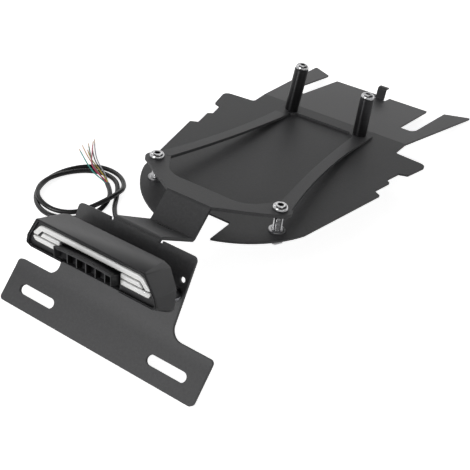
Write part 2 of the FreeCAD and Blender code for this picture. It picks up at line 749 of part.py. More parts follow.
def plate_lamp_grille():
    """arched band with fins below it"""
    half = LAMP_HALF - LAMP_WALL - FIT / 2
    top = LAMP_TOP + LAMP_WALL + GRILLE_GAP
    outer = arch_wire(half, top, LAMP_ARCH, LAMP_LOW)
    band = along_lamp(outer, GRILLE_BACK, BAND_D)
    below = along_lamp(arch_wire(half + 1, top + BAND_H, LAMP_ARCH, LAMP_LOW + 5), 0, LAMP_OUT)
    fins = []
    for k in range(RIBS):
        x = RIB_FIRST + k * RIB_PITCH
        fins.append(box((RIB_T, 4 * LAMP_OUT, LIGHT_H), (x, 0, -LIGHT_H)))
    rib_room = along_lamp(outer, GRILLE_BACK, RIB_D)
    ribs = [rib_room.common(fin) for fin in fins]
    return mounted(single(band.cut(below).multiFuse(ribs)))


def plate_lamp_lens():
    """clear block behind the fins"""
    half = LAMP_HALF - LAMP_WALL - FIT / 2
    start = GRILLE_BACK + RIB_D + FIT / 2
    profile = arch_wire(half, LAMP_TOP + LAMP_WALL + GRILLE_GAP, LAMP_ARCH, LAMP_LOW)
    return mounted(along_lamp(profile, start, LAMP_OUT + LAMP_IN - start))


def light_board():
    """circuit board against the carrier's back"""
    low = LIGHT_H - WALL - BOARD_MARGIN
    top_half = TOP_HALF - WALL - BOARD_MARGIN
    low_half = SIDE_HALF - WALL - BOARD_MARGIN
    high = WALL + BOARD_MARGIN
    outline = [(-top_half, high), (top_half, high), (low_half, low), (-low_half, low)]
    return mounted(face_prism(outline, CARRIER_IN + CARRIER_T, BOARD_T))


def light_back_cover():
    """cover between the housing and the neck, with the cable through it"""
    depth = BACK_N - COVER_GAP
    block = Part.makeBox(2 * COVER_HALF, COVER_UP, depth, V(-COVER_HALF, 0, -depth))
    posts = [e for e in block.Edges if e.BoundBox.ZLength > depth - 1e-6]
    block = block.makeFillet(COVER_R, posts)
    block.Placement = Placement(on_hold(0, COVER_S, BACK_N), Rotation(V(1, 0, 0), HOLD_DEG))
    return single(block.cut(cylinder(CABLE_R + 0.1, 2 * BACK_N, on_hold(0, CABLE_S, 0), HOLD_N)))


def light_fixing(side):
    """standoff, washer and screw that hold the light to the neck"""
    at = on_hold(side * STUD_X, STUD_S, 0)
    standoff = cylinder(STUD_R, BACK_N - M5_WASHER_T, V(0, 0, 0)).cut(cylinder(M5_R, STUD_BORE_L, V(0, 0, 0)))
    washer = ring(M5_WASHER_R, M5_R + WASHER_CLEAR, M5_WASHER_T)
    screw = button_screw(M5_R, M5_HEAD_R, M5_HEAD_H, M5_KEY, BR_T + M5_WASHER_T + M5_GRIP)
    return (standing(standoff, at + HOLD_N * M5_WASHER_T, HOLD_N), standing(washer, at, HOLD_N),
            standing(screw, at - HOLD_N * BR_T, HOLD_N * -1))


def cable_grommet():
    body = cylinder(GROMMET_R - 0.05, BR_T, V(0, 0, -BR_T))
    rims = [cylinder(GROMMET_R + GROMMET_LIP, GROMMET_RIM, V(0, 0, z)) for z in (0, -BR_T - GROMMET_RIM)]
    grommet = single(body.multiFuse(rims).cut(cylinder(CABLE_R, 8 * BR_T, V(0, 0, -4 * BR_T))))
    return standing(grommet, on_hold(0, CABLE_S), HOLD_N)


def all_pieces():
    nodes = {"undertail_plate": [undertail_plate()], "plate_bracket": [plate_bracket()]}
    left = spacer_stack(-1, SPACER_L_LEFT, LEAN_LEFT)
    right = spacer_stack(1, SPACER_L_RIGHT, 0.0)
    nodes["spacer_left"], nodes["spacer_right"] = [left[0]], [right[0]]
    nodes["spacer_screw_left"], nodes["spacer_screw_right"] = [left[1]], [right[1]]
    nodes["spacer_washers"] = [left[2], right[2]]
    nodes["spacer_nuts"] = [left[3], right[3]]
    rear = list(zip(rear_stack(-1), rear_stack(1)))
    rear_names = ("bracket_screws", "bracket_upper_washers", "bracket_lower_washers", "bracket_nuts")
    for name, pair in zip(rear_names, rear):
        nodes[name] = list(pair)
    nodes["light_housing"] = [light_housing()]
    nodes["light_carrier"] = [light_carrier()]
    nodes["light_guide_upper"] = [light_guide(GUIDE_UPPER)]
    nodes["light_guides_middle"] = [light_guide(GUIDE_MIDDLE), light_guide(flipped(GUIDE_MIDDLE))]
    nodes["light_guides_lower"] = [light_guide(GUIDE_LOWER), light_guide(flipped(GUIDE_LOWER))]
    nodes["plate_lamp_hood"] = [plate_lamp_hood()]
    nodes["plate_lamp_grille"] = [plate_lamp_grille()]
    nodes["plate_lamp_lens"] = [plate_lamp_lens()]
    nodes["light_board"] = [light_board()]
    nodes["light_back_cover"] = [light_back_cover()]
    fixing = list(zip(light_fixing(-1), light_fixing(1)))
    for name, pair in zip(("light_standoffs", "light_washers", "light_screws"), fixing):
        nodes[name] = list(pair)
    nodes["cable_grommet"] = [cable_grommet()]
    return nodes


# laid on the ground: the strip's lower edge and the fork tips touch it
STRIP_LOW = on_strip(0, 0, -BR_T)
FORK_LOW = Placement(V(0, 0, 0), Rotation(V(1, 0, 0), -FOLD_DEG)).multVec(V(0, FORK_LEN, -PLATE_T))
PITCH = math.degrees(math.atan2(FORK_LOW.z - STRIP_LOW.z, FORK_LOW.y - STRIP_LOW.y))
LAY = Rotation(V(1, 0, 0), -PITCH)


def laid_down(nodes):
    """turns every piece to the ground and puts the origin under the middle"""
    turned_nodes = {}
    for name, solids in nodes.items():
        turned_nodes[name] = []
        for solid in solids:
            copy = solid.copy()
            copy.Placement = Placement(V(0, 0, 0), LAY).multiply(copy.Placement)
            turned_nodes[name].append(copy)
    boxes = [s.BoundBox for solids in turned_nodes.values() for s in solids]
    shift = V(0, -(min(b.YMin for b in boxes) + max(b.YMax for b in boxes)) / 2, -min(b.ZMin for b in boxes))
    for solids in turned_nodes.values():
        for solid in solids:
            solid.translate(shift)
    return turned_nodes, shift


def cord(points, radius, name):
    """round cord along straight runs joined by tangent arcs"""
    edges = []
    radii = []
    here = points[0]
    for before, p, after in zip(points, points[1:], points[2:]):
        a = before - p
        b = after - p
        shorter = min(a.Length, b.Length)
        a.normalize()
        b.normalize()
        angle = a.getAngle(b)
        half_turn = (math.pi - angle) / 2
        r = 0.45 * shorter / math.tan(half_turn)
        radii.append(r)
        reach = r * math.tan(half_turn)
        middle = a + b
        middle.normalize()
        start = p + a * reach
        end = p + b * reach
        arc_mid = p + middle * (r / math.sin(angle / 2) - r)
        edges.append(Part.LineSegment(here, start).toShape())
        edges.append(Part.Arc(start, arc_mid, end).toShape())
        here = end
    edges.append(Part.LineSegment(here, points[-1]).toShape())
    path = Part.Wire(edges)
    section = Part.Wire([Part.Circle(points[0], points[1] - points[0], radius).toShape()])
    solid = path.makePipeShell([section], True, False).Solids[0]
    ratio = solid.Volume / (math.pi * radius ** 2 * path.Length)
    print(name, "length %.0f, least radius %.1f, volume ratio %.4f" % (path.Length, min(radii), ratio))
    return solid


def cable_route(shift):
    """out of the grommet, down behind the neck, two turns on the ground, and back inside them"""
    out = LAY.multVec(HOLD_N * -1)
    hole = LAY.multVec(on_hold(0, CABLE_S, 0)) + shift

    def ground(x, y, z=CABLE_R):
        return V(x, y + shift.y, z)

    def turn(share, deg, z=CABLE_R):
        """point of the coil; share 0 is the inner turn and 1 the outer"""
        ax = COIL_IN[0] + (COIL_OUT[0] - COIL_IN[0]) * share
        ay = COIL_IN[1] + (COIL_OUT[1] - COIL_IN[1]) * share
        return ground(COIL_X + ax * math.cos(rad(deg)), COIL_Y + ay * math.sin(rad(deg)), z)

    route = [hole + out * 0.5, hole + out * 20.0]
    route += [ground(-10, -316, 30.0), ground(-30, -297, 12.0), ground(-58, -281, 3.2), ground(-86, -268),
              ground(-106, -251), ground(-117.5, -232)]
    for deg in range(55, 236, 36):
        route.append(turn(0.0, deg))
    route += [ground(-152, -289.5), ground(-130, -279.5, 2.8), ground(-119, -260.5, 7.4),
              ground(-114.5, -238.5, 8.8), ground(-119.5, -216, 4.6)]
    for deg in range(72, 253, 36):
        route.append(turn(1.0, deg))
    route += [ground(-145, -297), ground(-124.5, -286), ground(-114.5, -266), ground(-118.5, -244.5),
              ground(-128.5, -228.5), ground(-140, -220.5)]
    return route


def wire_routes(sheath_end, sheath_way, shift):
    """bare wires that fan out of the sheath's end, over the coil, to their tips"""
    side = V(-sheath_way.y, sheath_way.x, 0)
    side.normalize()
    start = {
        "wire_teal": (1.5, 0.0),
        "wire_cream": (0.75, -1.3),
        "wire_yellow": (-0.75, 1.3),
        "wire_green": (0.0, 0.0),
        "wire_red": (0.75, 1.3),
        "wire_grey": (-1.5, 0.0),
        "wire_black": (-0.75, -1.3),
    }
    over = {
        "wire_teal": ((-157.2, -219.0, 6.0), (-173.2, -211.3, 6.5),
                      (-191.5, -198.3, 3.2), (-209.5, -185.6, 0.65)),
        "wire_cream": ((-154.5, -215.1, 5.0), (-169.2, -207.3, 6.3),
                       (-190.7, -193.5, 2.6), (-212.0, -177.8, 0.65)),
        "wire_yellow": ((-153.3, -213.3, 6.4), (-168.3, -205.2, 6.2),
                        (-184.5, -195.2, 2.6), (-201.0, -181.5, 0.65)),
        "wire_green": ((-154.5, -216.9, 6.6), (-170.4, -208.6, 7.9),
                       (-189.3, -190.1, 4.2), (-209.8, -170.5, 0.65)),
        "wire_red": ((-155.4, -218.2, 8.6), (-169.9, -210.9, 9.6),
                     (-187.5, -189.0, 6.0), (-208.5, -164.3, 0.65)),
        "wire_grey": ((-151.4, -210.6, 5.6), (-166.4, -202.4, 6.2),
                      (-188.0, -184.4, 3.0), (-210.4, -159.8, 0.65)),
        "wire_black": ((-152.4, -212.0, 5.0), (-167.0, -204.2, 6.2),
                       (-184.0, -190.9, 2.4), (-199.5, -175.8, 0.65)),
    }
    routes = {}
    for name, (across, up) in start.items():
        first = sheath_end + side * across + V(0, 0, up)
        routes[name] = [first, first + sheath_way * 6.0] + [V(x, y + shift.y, z) for x, y, z in over[name]]
    return routes


def main():
    nodes, shift = laid_down(all_pieces())
    route = cable_route(shift)
    nodes["cable"] = [cord(route, CABLE_R, "cable")]
    way = route[-1] - route[-2]
    way.normalize()
    for name, points in wire_routes(route[-1], way, shift).items():
        nodes[name] = [cord(points, WIRE_R, name)]
    for name, solids in nodes.items():
        shape = solids[0] if len(solids) == 1 else Part.makeCompound(solids)
        shape.exportStep("parts/" + name + ".step")
        good = all(s.isValid() and len(s.Solids) == 1 for s in solids)
        print(name, "solids", len(shape.Solids), "sound" if good else "FAULTY", "volume %.0f" % shape.Volume)
    print("pitch %.4f shift %.4f %.4f" % (PITCH, shift.y, shift.z))


main()
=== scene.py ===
import math

import bmesh
import bpy
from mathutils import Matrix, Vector


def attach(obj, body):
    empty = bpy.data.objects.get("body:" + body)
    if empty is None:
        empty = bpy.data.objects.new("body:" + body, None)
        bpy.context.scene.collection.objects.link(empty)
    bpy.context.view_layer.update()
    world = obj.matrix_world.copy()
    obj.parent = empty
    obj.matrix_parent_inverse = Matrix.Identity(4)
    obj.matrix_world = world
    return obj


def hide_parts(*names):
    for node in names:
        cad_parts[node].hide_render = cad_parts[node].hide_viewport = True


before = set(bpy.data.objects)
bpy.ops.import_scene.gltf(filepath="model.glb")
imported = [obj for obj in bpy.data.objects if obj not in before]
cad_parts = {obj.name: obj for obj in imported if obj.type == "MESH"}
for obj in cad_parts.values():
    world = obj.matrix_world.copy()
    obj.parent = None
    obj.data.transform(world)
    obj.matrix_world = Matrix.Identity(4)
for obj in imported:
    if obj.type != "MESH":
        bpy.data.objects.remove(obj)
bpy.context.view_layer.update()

# A tail tidy on a pale floor: black powder coated sheets, bright screws, black sleeves,
# a moulded rear light with milky guides, and a black cable with seven thin wires.
# Lengths are in metres where no comment says millimetres. +Z is up, and the rear of
# the bike is towards -Y.
MM = 0.001

# camera: place, turn in degrees, lens and sensor in millimetres
CAMERA_AT = Vector((0.293573, -0.597473, 0.436375))
CAMERA_TURN = (52.9127, -4.4388, 32.8776)
LENS_MM = 58.213
SENSOR_MM = 36.0

# floor: width, gap under the object, and how bright it looks to the camera and in gloss
FLOOR_WIDTH = 6.0
FLOOR_GAP = 0.2 * MM
FLOOR_SEEN = 0.86
FLOOR_IN_GLOSS = 0.22

# lights: turn and rise about the object in degrees, watts, width and height
LIGHTS = {
    "box_rear": (-105, 38, 3.4, 0.8, 0.8),
    "box_rear_left": (-150, 38, 1.6, 0.8, 0.8),
    "box_left": (165, 38, 3.4, 0.8, 0.8),
    "box_front_left": (120, 38, 1.7, 0.8, 0.8),
    "box_rear_low": (-105, 12, 4.9, 0.8, 0.8),
    "box_top": (116, 66, 1.0, 0.8, 0.8),
    "strip_rear": (-108, 12, 2.2, 0.04, 0.8),
    "strip_right": (-14, 20, 0.35, 0.05, 0.6),
    "strip_top": (90, 66, 0.6, 0.3, 0.2),
}
LIGHTS_AWAY = 1.7
LIGHTS_RAISED = Vector((0.0, 0.0, 0.05))
LIGHTS_AIM = Vector((0.0, 0.0, 0.03))

# sky: where a fade starts and ends, and the values there; the first one goes from the
# side before the object to the side beyond it, and the others go upwards
SKY_AHEAD = 0.9
SKY_RIGHT = 0.44
SKY_SIDES = (-0.2, 0.2, 0.0, 1.0)
SKY_BEYOND = (0.1, 0.28, 1.6, 0.5)
SKY_BEFORE = (0.1, 0.28, 0.4, 0.9)
SKY_HEIGHT = (0.42, 0.58, 1.0, 0.08)

# edges: how far each kind is eased, and the angles in degrees that count as sharp
SHEET_EASE = 0.45 * MM
MOULD_EASE = 0.55 * MM
FINE_EASE = 0.25 * MM
GUIDE_EASE = 0.45 * MM
HOOD_EASE = 0.4 * MM
GRILLE_EASE = 0.12 * MM
HEAD_EASE = 0.14 * MM
SHARP = 32
HEAD_SHARP = 40
CAD_SMOOTH = 30
SCREW_SMOOTH = 38

# meshes: corners this near become one, and faces this flat in degrees join
CAD_MERGE = 0.005 * MM
MADE_MERGE = 0.001 * MM
CAD_FLAT = 0.6

# the way the number plate lamp's openings look, and how squarely a face looks that way; grille faces that
# look less squarely that way get a near black finish, painted shade inside the openings
LAMP_WAY = Vector((0.0, -0.8, 0.55)).normalized()
LAMP_FACING = 0.75

# M8 button head screws
SCREW_R = 4.0 * MM
PITCH = 1.25 * MM
THREAD_DEPTH = 0.54 * PITCH
RIDGE_WIDTH = 0.95 * PITCH
CORE_R = SCREW_R - 0.5 * PITCH
TIP_EASE = 0.5 * MM
HEAD_R = 7.0 * MM
HEAD_H = 4.4 * MM
DOME_H = 0.74 * HEAD_H
DOME_CURVE = 0.52
KEY = 5.0 * MM
SOCKET_R = KEY / 2 / math.cos(math.radians(30))
SOCKET_FLOOR = 0.3 * HEAD_H
SOCKET_TURN = 12
HEAD_CORNERS = 56
SHANK_CORNERS = 40
THREAD_STEPS = 28

# seats of the screws and their lengths, in millimetres
PLATE_UP = (0.0, 0.053789, 0.998552)
REAR_SEAT = (65.0, -121.518, 72.112)
REAR_LENGTH = 35.1
SPACER_SEATS = {
    "spacer_screw_left": ((-37.298, 97.357, 91.778), (0.095846, 0.053541, 0.993955), 67.4),
    "spacer_screw_right": ((42.4, 96.927, 83.801), PLATE_UP, 58.6),
}

# cable and wires, in millimetres; the routes are those of the solids, apart from the
# coil's inner turn: COIL_LIFT says how far it moves outwards and its height at each angle
GROUND_Y = 115.4494
CABLE_R = 2.4
WIRE_R = 0.65
STRAND_R = 0.68
BARE_SHARE = 0.07
COIL_X = -153.8
COIL_Y = -246.0
COIL_IN = (34.5, 43.0)
COIL_OUT = (40.0, 49.4)
COIL_STEP = 36
COIL_LIFT = {
    55: (0.0, CABLE_R),
    91: (-3.4, CABLE_R),
    127: (-3.0, CABLE_R),
    163: (-0.4, 3.4),
    199: (3.2, 6.4),
    235: (4.6, 7.6),
}
GROMMET_EXIT = (0.0, -244.0936, 63.3147)
CABLE_SECOND = (0.0, -227.0523, 53.8361)
SHEATH_WAY = Vector((-0.820905, 0.571064, 0.0))
SHEATH_SIDE = Vector((-0.571064, -0.820905, 0.0))
WIRE_STRAIGHT = 6.0

# wires in their order: colour, place across the sheath and upwards, and points to the tip
WIRES = {
    "wire_teal": ((0.02, 0.36, 0.3), 1.5, 0.0, (
        (-157.2, -219.0, 6.0), (-173.2, -211.3, 6.5), (-191.5, -198.3, 3.2), (-209.5, -185.6, WIRE_R))),
    "wire_cream": ((0.8, 0.5, 0.32), 0.75, -1.3, (
        (-154.5, -215.1, 5.0), (-169.2, -207.3, 6.3), (-190.7, -193.5, 2.6), (-212.0, -177.8, WIRE_R))),
    "wire_yellow": ((0.72, 0.55, 0.06), -0.75, 1.3, (
        (-153.3, -213.3, 6.4), (-168.3, -205.2, 6.2), (-184.5, -195.2, 2.6), (-201.0, -181.5, WIRE_R))),
    "wire_green": ((0.01, 0.14, 0.06), 0.0, 0.0, (
        (-154.5, -216.9, 6.6), (-170.4, -208.6, 7.9), (-189.3, -190.1, 4.2), (-209.8, -170.5, WIRE_R))),
    "wire_red": ((0.55, 0.02, 0.1), 0.75, 1.3, (
        (-155.4, -218.2, 8.6), (-169.9, -210.9, 9.6), (-187.5, -189.0, 6.0), (-208.5, -164.3, WIRE_R))),
    "wire_grey": ((0.5, 0.5, 0.53), -1.5, 0.0, (
        (-151.4, -210.6, 5.6), (-166.4, -202.4, 6.2), (-188.0, -184.4, 3.0), (-210.4, -159.8, WIRE_R))),
    "wire_black": ((0.012, 0.012, 0.013), -0.75, -1.3, (
        (-152.4, -212.0, 5.0), (-167.0, -204.2, 6.2), (-184.0, -190.9, 2.4), (-199.5, -175.8, WIRE_R))),
}


def rad(deg):
    return math.radians(deg)


# pieces and their meshes

def alone(piece):
    """makes a piece the only selected one, and the active one"""
    bpy.ops.object.select_all(action="DESELECT")
    piece.select_set(True)
    bpy.context.view_layer.objects.active = piece


def settle(piece):
    """puts a piece's place into its mesh"""
    alone(piece)
    bpy.ops.object.transform_apply(location=True, rotation=True, scale=True)


def apply_all(piece):
    alone(piece)
    for modifier in list(piece.modifiers):
        bpy.ops.object.modifier_apply(modifier=modifier.name)


def smooth(piece, deg):
    alone(piece)
    bpy.ops.object.shade_smooth_by_angle(angle=rad(deg))


def pick(piece, kind, wanted):
    """goes into edit mode and selects only the corners, edges or faces that pass a test"""
    if bpy.context.mode == "OBJECT":
        alone(piece)
        bpy.ops.object.mode_set(mode="EDIT")
    bpy.ops.mesh.select_mode(type={"verts": "VERT", "edges": "EDGE", "faces": "FACE"}[kind])
    bpy.ops.mesh.select_all(action="DESELECT")
    shape = bmesh.from_edit_mesh(piece.data)
    for item in getattr(shape, kind):
        if wanted(item):
            item.select_set(True)
    bmesh.update_edit_mesh(piece.data)


def pick_all(piece):
    alone(piece)
    bpy.ops.object.mode_set(mode="EDIT")
    bpy.ops.mesh.select_all(action="SELECT")


def done(piece):
    """goes back to object mode"""
    bpy.ops.object.mode_set(mode="OBJECT")
    return piece


def added(name, data):
    """new object at the origin that holds this mesh, curve, light or camera"""
    piece = bpy.data.objects.new(name, data)
    bpy.context.collection.objects.link(piece)
    return piece


def copied(piece, name):
    """copy of a piece with a mesh of its own"""
    twin = piece.copy()
    twin.data = piece.data.copy()
    twin.name = name
    bpy.context.collection.objects.link(twin)
    return twin


def joined(name, pieces):
    alone(pieces[0])
    for piece in pieces[1:]:
        piece.select_set(True)
    bpy.ops.object.join()
    pieces[0].name = name
    return pieces[0]


def cut_with(piece, cutter):
    """takes the cutter's shape out of a piece"""
    cut = piece.modifiers.new("cut", "BOOLEAN")
    cut.object = cutter
    cut.operation = "DIFFERENCE"
    cut.solver = "EXACT"
    apply_all(piece)
    bpy.data.objects.remove(cutter)


def edge_softened(piece, width, sharp=SHARP, clamped=True):
    """rounds the edges that turn by more than an angle"""
    bevel = piece.modifiers.new("ease", "BEVEL")
    bevel.width = width
    bevel.segments = 2
    bevel.limit_method = "ANGLE"
    bevel.angle_limit = rad(sharp)
    bevel.use_clamp_overlap = clamped
    bevel.miter_outer = "MITER_ARC"
    apply_all(piece)


def cylinder(radius, bottom, depth, corners, turn=0):
    """closed cylinder or prism about Z, with its place in its mesh"""
    bpy.ops.mesh.primitive_cylinder_add(vertices=corners, radius=radius, depth=depth,
                                        location=(0, 0, bottom + depth / 2))
    piece = bpy.context.object
    piece.rotation_euler = (0, 0, rad(turn))
    settle(piece)
    return piece


def stood_at(piece, seat, axis):
    """puts a piece built about +Z at a seat along an axis, with its place in its mesh"""
    piece.rotation_mode = "QUATERNION"
    piece.rotation_quaternion = Vector((0, 0, 1)).rotation_difference(Vector(axis))
    piece.location = Vector(seat) * MM
    settle(piece)
    piece.rotation_mode = "XYZ"


def finish_with(piece, material):
    """gives a piece one material"""
    piece.data.materials.clear()
    piece.data.materials.append(material)


def second_finish(piece, material, wanted):
    """gives the faces that pass a test a second material"""
    piece.data.materials.append(material)
    pick(piece, "faces", wanted)
    piece.active_material_index = 1
    bpy.ops.object.material_slot_assign()
    done(piece)


# shader maths

class Socket:
    """an output of a node that can be used in sums"""

    def __init__(self, graph, out):
        self.graph = graph
        self.out = out

    def maths(self, operation, other):
        return self.graph.node("Math", {"operation": operation}, {0: self, 1: other})

    def __add__(self, other):
        return self.maths("ADD", other)

    __radd__ = __add__

    def __sub__(self, other):
        return self.maths("SUBTRACT", other)

    def __rsub__(self, other):
        return self.graph.node("Math", {"operation": "SUBTRACT"}, {0: other, 1: self})

    def __mul__(self, other):
        return self.maths("MULTIPLY", other)

    __rmul__ = __mul__

    def above(self, limit):
        return self.maths("GREATER_THAN", limit)


class Graph:
    """the nodes of a material or of the world"""

    def __init__(self, tree):
        self.tree = tree

    def feed(self, slot, value):
        """gives an input a value or a link; None leaves it as it is"""
        if isinstance(value, Socket):
            self.tree.links.new(value.out, slot)
        elif value is not None:
            slot.default_value = value

    def node(self, kind, settings=None, values=None, out=0):
        """adds a node with its settings, then the values or links of its inputs"""
        node = self.tree.nodes.new("ShaderNode" + kind)
        for key, value in (settings or {}).items():
            if key == "stops":
                for element, (at, color) in zip(node.color_ramp.elements, value):
                    element.position = at
                    element.color = (*color, 1.0)
            else:
                setattr(node, key, value)
        for slot, value in (values or {}).items():
            self.feed(node.inputs[slot], value)
        return Socket(self, node.outputs[out])

    def fade(self, value, start, end, at_start, at_end):
        """goes smoothly from one value to another between two limits"""
        return self.node("MapRange", {"interpolation_type": "SMOOTHSTEP"}, {
            "Value": value, "From Min": start, "From Max": end, "To Min": at_start, "To Max": at_end})

    def seen_by(self, kind):
        """1 where a kind of ray meets the surface or the sky, else 0"""
        return self.node("LightPath", out="Is %s Ray" % kind)

    def seen_directly(self):
        """1 for the camera, also through clear pieces"""
        return self.seen_by("Camera").maths("MAXIMUM", self.seen_by("Transmission"))


class Finish(Graph):
    """a material on the principled shader"""

    def __init__(self, name, color, roughness, metallic=0.0, **fixed):
        self.material = bpy.data.materials.new(name)
        self.material.use_nodes = True
        super().__init__(self.material.node_tree)
        self.shader = self.tree.nodes["Principled BSDF"]
        self.set("Base Color", (*color, 1.0))
        self.set("Roughness", roughness)
        self.set("Metallic", metallic)
        for key, value in fixed.items():
            self.set(key.replace("_", " "), value)

    def set(self, key, value):
        self.feed(self.shader.inputs[key], value)

    def place(self):
        return self.node("TexCoord", out="Object")

    def noise(self, scale, detail, vector=None):
        return self.node("TexNoise", values={
            "Vector": vector or self.place(), "Scale": scale, "Detail": detail, "Roughness": 0.5})

    def stretched(self, scale):
        return self.node("Mapping", values={"Vector": self.place(), "Scale": scale})

    def ramp(self, value, low, low_color, high, high_color):
        """colour that runs from one stop to another"""
        return self.node("ValToRGB", {"stops": [(low, low_color), (high, high_color)]}, {0: value})

    def bump(self, height, distance, strength, normal=None):
        return self.node("Bump", values={
            "Height": height, "Distance": distance, "Strength": strength, "Normal": normal})

    def soft_edge(self, radius):
        """normal that rounds the edges by a radius"""
        return self.node("Bevel", {"samples": 4}, {"Radius": radius})


def tone(color, share):
    return tuple(share * c for c in color)


# finishes

def powder_coat():
    """satin black powder: fine orange peel, with a slow change of gloss"""
    finish = Finish("powder_coat", (0.04, 0.04, 0.042), 0.5)
    broad = finish.noise(9.0, 3.0)
    peel = finish.noise(420.0, 2.0)
    grain = finish.noise(1500.0, 2.0)
    speck = finish.noise(4200.0, 1.0)
    mottle = broad * 0.35 + peel * 0.35 + grain * 0.3
    relief = peel * 2.0 + grain + speck * 0.4
    finish.set("Base Color", finish.ramp(mottle, 0.42, (0.034, 0.034, 0.036), 0.58, (0.048, 0.048, 0.05)))
    finish.set("Roughness", 0.42 + broad * 0.08 + peel * 0.1)
    finish.set("Normal", finish.bump(relief, 0.06 * MM, 0.5, finish.soft_edge(SHEET_EASE)))
    return finish.material


def moulded_black(name, color, roughness, gloss=0.5):
    """black plastic with a fine spark-eroded grain"""
    finish = Finish(name, color, roughness, Specular_IOR_Level=gloss)
    grain = finish.noise(1300.0, 2.0)
    broad = finish.noise(22.0, 2.0)
    mottle = grain * 0.5 + broad * 0.5
    finish.set("Base Color", finish.ramp(mottle, 0.35, tone(color, 0.85), 0.65, tone(color, 1.2)))
    finish.set("Roughness", roughness - 0.04 + grain * 0.1)
    finish.set("Normal", finish.bump(grain, 0.04 * MM, 0.5))
    return finish.material


def anodised_black():
    """gloss black anodised bar with fine rings left by turning"""
    finish = Finish("black_anodised", (0.05, 0.05, 0.052), 0.26, 1.0,
                    Anisotropic=0.9, Anisotropic_Rotation=0.25)
    rings = finish.noise(1.0, 2.0, finish.stretched((30.0, 30.0, 3000.0)))
    finish.set("Roughness", 0.27 + rings * 0.07)
    finish.set("Base Color", finish.ramp(rings, 0.3, (0.042, 0.042, 0.044), 0.7, (0.06, 0.06, 0.062)))
    finish.set("Normal", finish.bump(rings, 0.03 * MM, 1.0))
    return finish.material


def bright_metal(name, color, roughness, mark_scale):
    """plated or blackened steel with fine marks"""
    finish = Finish(name, color, roughness, 1.0)
    marks = finish.noise(mark_scale, 3.0)
    finish.set("Roughness", roughness - 0.05 + marks * 0.12)
    finish.set("Base Color", finish.ramp(marks, 0.3, tone(color, 0.82), 0.7, color))
    finish.set("Normal", finish.bump(marks, 0.01 * MM, 0.4))
    return finish.material


def milky_guide():
    """milky light guide with faint clouds in it"""
    finish = Finish("guide_white", (0.86, 0.86, 0.85), 0.22, Coat_Weight=0.3)
    cloud = finish.noise(60.0, 2.0)
    finish.set("Base Color", finish.ramp(cloud, 0.3, (0.82, 0.82, 0.81), 0.7, (0.9, 0.9, 0.89)))
    finish.set("Roughness", 0.18 + cloud * 0.1)
    finish.set("Normal", finish.bump(finish.noise(500.0, 1.0), 0.02 * MM, 0.3))
    return finish.material


def dark_lens():
    """near black lens with little gloss: painted shade behind the fins"""
    finish = Finish("lens_painted_shade", (0.008, 0.008, 0.009), 0.4, Specular_IOR_Level=0.1)
    finish.set("Roughness", 0.35 + finish.noise(300.0, 1.0) * 0.15)
    return finish.material


def circuit_board():
    """green board, a little paler where it has tracks"""
    finish = Finish("board_green", (0.02, 0.11, 0.05), 0.35)
    tracks = finish.noise(180.0, 0.0).above(0.52)
    finish.set("Base Color", finish.ramp(tracks, 0.0, (0.015, 0.09, 0.04), 1.0, (0.03, 0.15, 0.07)))
    return finish.material


def soft_black(name, color, roughness):
    """soft black rubber or cable sheath"""
    finish = Finish(name, color, roughness)
    grain = finish.noise(900.0, 3.0)
    finish.set("Roughness", roughness - 0.05 + grain * 0.12)
    finish.set("Base Color", finish.ramp(grain, 0.3, tone(color, 0.8), 0.7, tone(color, 1.25)))
    finish.set("Normal", finish.bump(grain, 0.03 * MM, 0.5))
    return finish.material


def insulation(name, color):
    """smooth plastic on a thin wire"""
    finish = Finish(name, color, 0.35)
    wave = finish.noise(350.0, 2.0)
    finish.set("Base Color", finish.ramp(wave, 0.3, tone(color, 0.85), 0.7, color))
    finish.set("Roughness", 0.3 + wave * 0.12)
    return finish.material


def tinned_copper():
    finish = Finish("tinned_strands", (0.78, 0.62, 0.5), 0.3, 1.0)
    strands = finish.noise(2600.0, 1.0)
    finish.set("Base Color", finish.ramp(strands, 0.35, (0.5, 0.36, 0.27), 0.65, (0.85, 0.72, 0.62)))
    return finish.material


COAT = powder_coat()
MOULDED = moulded_black("black_moulding", (0.028, 0.028, 0.03), 0.42)
LAMP_BLACK = moulded_black("lamp_black", (0.012, 0.012, 0.013), 0.5)
# near black moulding with little gloss: painted shade on the grille's faces inside its openings
GRILLE_PAINTED_SHADE = moulded_black("grille_painted_shade", (0.003, 0.003, 0.003), 0.7, 0.1)
ANODISED = anodised_black()
BRIGHT = bright_metal("bright_steel", (0.62, 0.62, 0.63), 0.14, 500.0)
WASHER_STEEL = bright_metal("washer_steel", (0.52, 0.52, 0.53), 0.3, 900.0)
# black steel for the light's screws and washers, and painted shade in the screw heads' sockets
BLACKENED_AND_SOCKET_SHADE = bright_metal("blackened_steel_and_socket_shade", (0.07, 0.07, 0.075), 0.36, 900.0)
GUIDE = milky_guide()
LENS = dark_lens()
BOARD = circuit_board()
RUBBER = soft_black("rubber_black", (0.014, 0.014, 0.014), 0.6)
SHEATH = soft_black("cable_black", (0.014, 0.014, 0.015), 0.24)
COPPER = tinned_copper()

# nodes that keep the frame's own mesh
NODE_FINISH = {
    "undertail_plate": COAT,
    "plate_bracket": COAT,
    "light_board": BOARD,
    "light_standoffs": MOULDED,
    "light_washers": BLACKENED_AND_SOCKET_SHADE,
    "light_screws": BLACKENED_AND_SOCKET_SHADE,
    "plate_lamp_lens": LENS,
    "cable_grommet": RUBBER,
}

